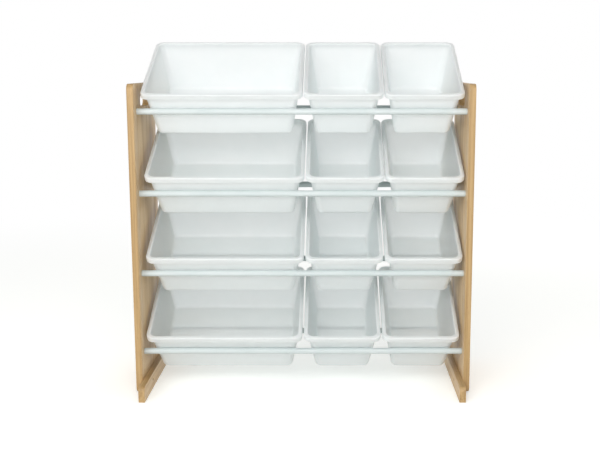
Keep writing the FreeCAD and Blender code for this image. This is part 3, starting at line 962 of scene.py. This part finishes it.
def outline_curve(name: str, loops: Iterable[list[Flat]]) -> bpy.types.Object:
    """Makes a flat curve object of closed loops.

    Args:
        name: the object's name.
        loops: the outline first, and then its holes, in metres.

    Returns:
        The curve object.
    """
    curve = bpy.data.curves.new(name, "CURVE")
    curve.dimensions = "2D"
    curve.fill_mode = "NONE"
    for loop in loops:
        spline = curve.splines.new("POLY")
        spline.points.add(len(loop) - 1)
        for place, (x, y) in zip(spline.points, loop):
            place.co = (x, y, 0.0, 1.0)
        spline.use_cyclic_u = True
    return make_object(name, curve)


@dataclass
class Boards:
    """The two side panels and the two foot rails."""

    tubes: Tubes
    screws: FootScrews
    thickness: float = 16 * MM
    panel_corner: float = 16 * MM
    grip_length: float = 114 * MM
    grip_height: float = 30 * MM
    grip_drop: float = 44 * MM
    rail_nose: float = 11 * MM
    bolt_recess: float = 6.1 * MM
    screw_recess: float = 4.6 * MM
    edge_softening_mm: float = 0.7
    corner_steps: int = 16
    hole_steps: int = 24

    def hole(self, centre: Flat, radius: float) -> list[Flat]:
        """A round hole's outline."""
        steps = self.hole_steps
        return arc(centre, radius, 0, 360 - 360 / steps, steps - 1)

    def panel_outline(self, side: Side) -> list[list[Flat]]:
        """The panel's rounded outline, its hand-hold slot and its bolt holes.

        Args:
            side: the panel's side.

        Returns:
            The closed loops, in metres, with Y across and Z up.
        """
        low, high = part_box("%s_side_panel" % side.word)
        r, steps = self.panel_corner, self.corner_steps
        corners = ((high.y - r, high.z - r, 0), (low.y + r, high.z - r, 90),
                   (low.y + r, low.z + r, 180), (high.y - r, low.z + r, 270))
        outline = [p for y, z, turn in corners for p in arc((y, z), r, turn, turn + 90, steps)]
        half = self.grip_height / 2
        middle, height = (low.y + high.y) / 2, high.z - self.grip_drop
        reach = self.grip_length / 2 - half
        slot = arc((middle + reach, height), half, -90, 90, steps)
        slot += arc((middle - reach, height), half, 90, 270, steps)
        holes = [self.hole(centre, self.bolt_recess) for centre in self.tubes.centres()]
        return [outline, slot] + holes

    def rail_outline(self, side: Side) -> list[list[Flat]]:
        """The foot rail's outline, with its rounded nose and its screw holes.

        Args:
            side: the rail's side.

        Returns:
            The closed loops, in metres, with Y across and Z up.
        """
        low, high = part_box("%s_foot_rail" % side.word)
        r = self.rail_nose
        outline = [(low.y, low.z), (high.y, low.z), (high.y, high.z)]
        outline += arc((low.y + r, high.z - r), r, 90, 180, self.corner_steps)
        holes = [self.hole(centre, self.screw_recess) for centre in self.screws.centres(side)]
        return [outline] + holes

    def build(self) -> None:
        """Makes the four boards, replaces their nodes and lets them ride on the frame."""
        tree = board_tree()
        for side in Side:
            for kind, outline, foil, band in (
                    ("side_panel", self.panel_outline(side), PANEL_FOIL, PANEL_BAND),
                    ("foot_rail", self.rail_outline(side), RAIL_FOIL, RAIL_BAND)):
                node = "%s_%s" % (side.word, kind)
                curve = outline_curve(node + "_outline", outline)
                piece = run_tree(node + "_board", curve, tree, {
                    "Thickness": self.thickness, "Inner face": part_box(node)[0].x,
                    "Broad finish": foil.build(), "Edge finish": band.build()},
                    bevel_mm=self.edge_softening_mm)
                settle(piece, FRAME_BODY, foil, node)


# ---- bins


@dataclass
class MouldedBin:
    """One bin: drafted walls, a rounded floor edge and a turned-down rim.

    The bin's own frame has Y back from the rim's front edge and Z up from the floor's underside.
    It is tilted about X and placed from its node's box. All its sizes are in millimetres. A ring
    is (inset from the rim's edge, height, radius of its corners).
    """

    row: int
    kind: BinKind
    rim_length: float = 298.0
    depth: float = 130.0
    wall: float = 2.2
    draft_deg: float = 9.0
    tilt_deg: float = 27.0
    overhang: float = 8.0
    drop: float = 14.0
    gauge: float = 2.0         # thickness of the rim and its skirt
    wall_corner: float = 17.0
    rim_corner: float = 20.0
    least_corner: float = 2.0
    floor_round: float = 11.0
    joint_round: float = 2.5   # between the wall and the rim's underside
    skirt_round: float = 1.0   # inside the skirt and along its lower edge
    edge_round: float = 3.0    # along the rim's outer edge
    lip_round: float = 2.2     # between the rim and the inside
    corner_steps: int = 9
    floor_steps: int = 7
    small_steps: int = 4
    edge_steps: int = 6
    lip_steps: int = 5

    @property
    def node(self) -> str:
        """The bin's node."""
        return "row_%d_%s_bin" % (self.row, self.kind.value)

    def lean(self, z: float) -> float:
        """How far a wall's outside lies inside the rim's edge at a height."""
        return self.overhang + (self.depth - z) * math.tan(math.radians(self.draft_deg))

    def floor_arc(self, height: float, extra: float, radius: float, corner: float) -> list[Point]:
        """Rings of the rounded edge between the floor and the walls, from the floor up.

        Args:
            height: the floor's height.
            extra: how far the wall's face lies inside its outside face.
            radius: the edge's radius.
            corner: radius of the walls' upright corners on this face.

        Returns:
            The rings.
        """
        sweep = 90 - self.draft_deg
        start = self.lean(height) + extra + radius * math.tan(math.radians(sweep / 2))
        outer = start - radius * math.sin(math.radians(sweep))
        rings = []
        for step in range(self.floor_steps + 1):
            a = math.radians(sweep * step / self.floor_steps)
            inset = start - radius * math.sin(a)
            rings.append((inset, height + radius * (1 - math.cos(a)),
                          max(corner - (inset - outer), self.least_corner)))
        return rings

    def rim_corner_at(self, inset: float) -> float:
        """Corner radius between the rim's edge and the walls."""
        share = min(inset / self.overhang, 1.0)
        return self.rim_corner + (self.wall_corner - self.rim_corner) * share

    def rounded(self, centre: Flat, radius: float, first_deg: float, last_deg: float,
                steps: int) -> list[Point]:
        """Rings of a small rounding in the rim's section.

        Args:
            centre: inset and height of the rounding's centre.
            radius: its radius.
            first_deg: the angle where it starts.
            last_deg: the angle where it ends.
            steps: how many chords it has.

        Returns:
            The rings.
        """
        return [(inset, z, self.rim_corner_at(inset))
                for inset, z in arc(centre, radius, first_deg, last_deg, steps)]

    def rings(self) -> list[Point]:
        """All rings, from the floor's underside round the rim to the floor's inside.

        Returns:
            The rings, in the order in which faces join them.
        """
        top, inner = self.depth, self.wall / math.cos(math.radians(self.draft_deg))
        under = top - self.gauge
        joint, fold, crest, lip = (
            self.joint_round, self.skirt_round, self.edge_round, self.lip_round)
        few = self.small_steps
        outside = self.floor_arc(0.0, 0.0, self.floor_round, self.wall_corner)
        outside.append((self.lean(under - joint), under - joint, self.wall_corner))
        outside += self.rounded((self.lean(under) - joint, under - joint), joint, 0, 90, few)
        rim = self.rounded((self.gauge + fold, under - fold), fold, 90, 180, few)
        rim += self.rounded((self.gauge / 2, top - self.drop + fold), fold, 0, -180, few)
        rim += self.rounded((crest, top - crest), crest, 180, 90, self.edge_steps)
        edge = self.overhang + inner
        for inset, z in arc((edge - lip, top - lip), lip, 90, self.draft_deg, self.lip_steps):
            on_wall = inset > self.overhang
            corner = self.wall_corner - (self.wall + inset - edge)
            rim.append((inset, z, corner if on_wall else self.rim_corner_at(inset)))
        inside = self.floor_arc(
            self.wall, inner, self.floor_round - self.wall, self.wall_corner - self.wall)
        return outside + rim + inside[::-1]

    def ring_points(self, half_width: float, ring: Point) -> list[Point]:
        """The places round one ring, in the bin's own frame.

        Args:
            half_width: half of the rim's width.
            ring: the ring.

        Returns:
            The places, in millimetres.
        """
        inset, z, corner = ring
        x, near, far = half_width - inset, inset, self.rim_length - inset
        corners = ((x - corner, far - corner, 0), (corner - x, far - corner, 90),
                   (corner - x, near + corner, 180), (x - corner, near + corner, 270))
        return [(px, py, z) for cx, cy, turn in corners
                for px, py in arc((cx, cy), corner, turn, turn + 90, self.corner_steps)]

    def placed(self, point: Point, low: Vector, high: Vector) -> Vector:
        """Moves a place from the bin's own frame to the part's frame.

        Args:
            point: the place, in millimetres.
            low: the lowest corner of the node's box.
            high: its highest corner.

        Returns:
            The place in metres.
        """
        tilt = math.radians(self.tilt_deg)
        x, y, z = (v * MM for v in point)
        base_y = low.y + self.depth * MM * math.sin(tilt)
        base_z = high.z - (self.rim_length * math.sin(tilt) + self.depth * math.cos(tilt)) * MM
        return Vector(((low.x + high.x) / 2 + x,
                       base_y + y * math.cos(tilt) - z * math.sin(tilt),
                       base_z + y * math.sin(tilt) + z * math.cos(tilt)))

    def build(self) -> None:
        """Makes the bin and lets it stand for its node."""
        low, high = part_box(self.node)
        half_width = (high.x - low.x) / 2 / MM
        work = bmesh.new()
        loops = [[work.verts.new(self.placed(place, low, high))
                  for place in self.ring_points(half_width, ring)] for ring in self.rings()]
        for before, after in zip(loops, loops[1:]):
            bridge(work, before, after)
        work.faces.new(loops[0][::-1])
        work.faces.new(loops[-1])
        mesh = finished_mesh(work, self.node + "_shell")
        mesh.materials.append(BIN_PLASTIC.build())
        mesh.shade_smooth()
        piece = make_object(mesh.name, mesh)
        weighted = piece.modifiers.new("Flat walls", "WEIGHTED_NORMAL")
        weighted.weight = 100
        piece = plain_mesh(piece, self.node + "_shell_moulded")
        settle(piece, self.node + "_body", BIN_PLASTIC, self.node)


# ---- studio


@dataclass(frozen=True)
class Softbox:
    """A soft white rectangular lamp, with its width and height in metres and its watts."""

    name: str
    place: Point
    size: Flat
    power: float

    def hang(self, target: Point) -> None:
        """Hangs the lamp and aims it.

        Args:
            target: the place that it is aimed at.
        """
        light = bpy.data.lights.new(self.name, "AREA")
        light.shape = "RECTANGLE"
        light.size, light.size_y = self.size
        light.energy = self.power
        lamp = make_object(self.name, light)
        lamp.location = self.place
        away = Vector(target) - Vector(self.place)
        lamp.rotation_euler = away.to_track_quat("-Z", "Y").to_euler()


@dataclass
class Studio:
    """Pale floor, soft lights and the camera at the photograph's viewing angle."""

    focal_px: float = 950.0
    picture_width_px: float = 600.0
    principal_x_px: float = 332.3
    sensor_mm: float = 36.0
    camera_place: Point = (0.076, -2.481, 0.835)
    camera_pitch_deg: float = 9.4
    camera_reach: float = 200.0
    floor_reach: float = 30.0
    world_strength: float = 0.54
    lamps_target: Point = (0.0, 0.0, 0.45)
    lamps: tuple[Softbox, ...] = (
        Softbox("front_softbox", (-0.5, -3.4, 1.25), (3.4, 1.6), 47.0),
        Softbox("high_softbox", (-0.4, -2.4, 1.9), (3.4, 1.2), 32.0),
        Softbox("rear_softbox", (0.9, 3.2, 1.7), (2.4, 1.6), 20.0))

    def add_camera(self) -> None:
        """Sets the camera."""
        lens = bpy.data.cameras.new("camera")
        lens.sensor_width = self.sensor_mm
        lens.lens = self.focal_px / self.picture_width_px * self.sensor_mm
        lens.shift_x = 0.5 - self.principal_x_px / self.picture_width_px
        lens.clip_end = self.camera_reach
        camera = make_object("camera", lens)
        camera.location = self.camera_place
        camera.rotation_euler = (math.radians(90 - self.camera_pitch_deg), 0.0, 0.0)
        bpy.context.scene.camera = camera

    def add_floor(self) -> None:
        """Lays the paper floor under the feet."""
        reach = self.floor_reach
        corners = [(-reach, -reach, 0), (reach, -reach, 0), (reach, reach, 0), (-reach, reach, 0)]
        mesh = bpy.data.meshes.new("studio_floor")
        mesh.from_pydata(corners, [], [(0, 1, 2, 3)])
        mesh.materials.append(PAPER.build())
        floor = make_object("studio_floor", mesh)

    def add_world(self) -> None:
        """Gives an even soft surround, and plain white behind the object."""
        world = bpy.data.worlds.new("studio")
        bpy.context.scene.world = world
        world.use_nodes = True
        tree = world.node_tree
        tree.nodes.clear()
        rays = add_node(tree, "ShaderNodeLightPath")
        strength = add_node(tree, "ShaderNodeMapRange", {
            "Value": rays.outputs["Is Camera Ray"], "To Min": self.world_strength, "To Max": 1.0})
        shader = add_node(tree, "ShaderNodeBackground", {
            "Color": WHITE, "Strength": strength.outputs[0]})
        add_node(tree, "ShaderNodeOutputWorld", {"Surface": shader.outputs[0]})

    def build(self) -> None:
        """Sets up the whole studio."""
        self.add_camera()
        self.add_floor()
        self.add_world()
        for lamp in self.lamps:
            lamp.hang(self.lamps_target)
        bpy.context.scene.view_settings.view_transform = "Standard"


def main() -> None:
    """Builds every piece in order."""
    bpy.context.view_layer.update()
    tubes = Tubes()
    screws = FootScrews()
    Studio().build()
    Boards(tubes, screws).build()
    tubes.build()
    tree = fastener_tree()
    TubeBolts(tubes=tubes).build(tree)
    screws.build(tree)
    HiddenFittings().build()
    for row in range(1, tubes.rows + 1):
        for kind in BinKind:
            MouldedBin(row, kind).build()


if __name__ == "__main__":
    main()
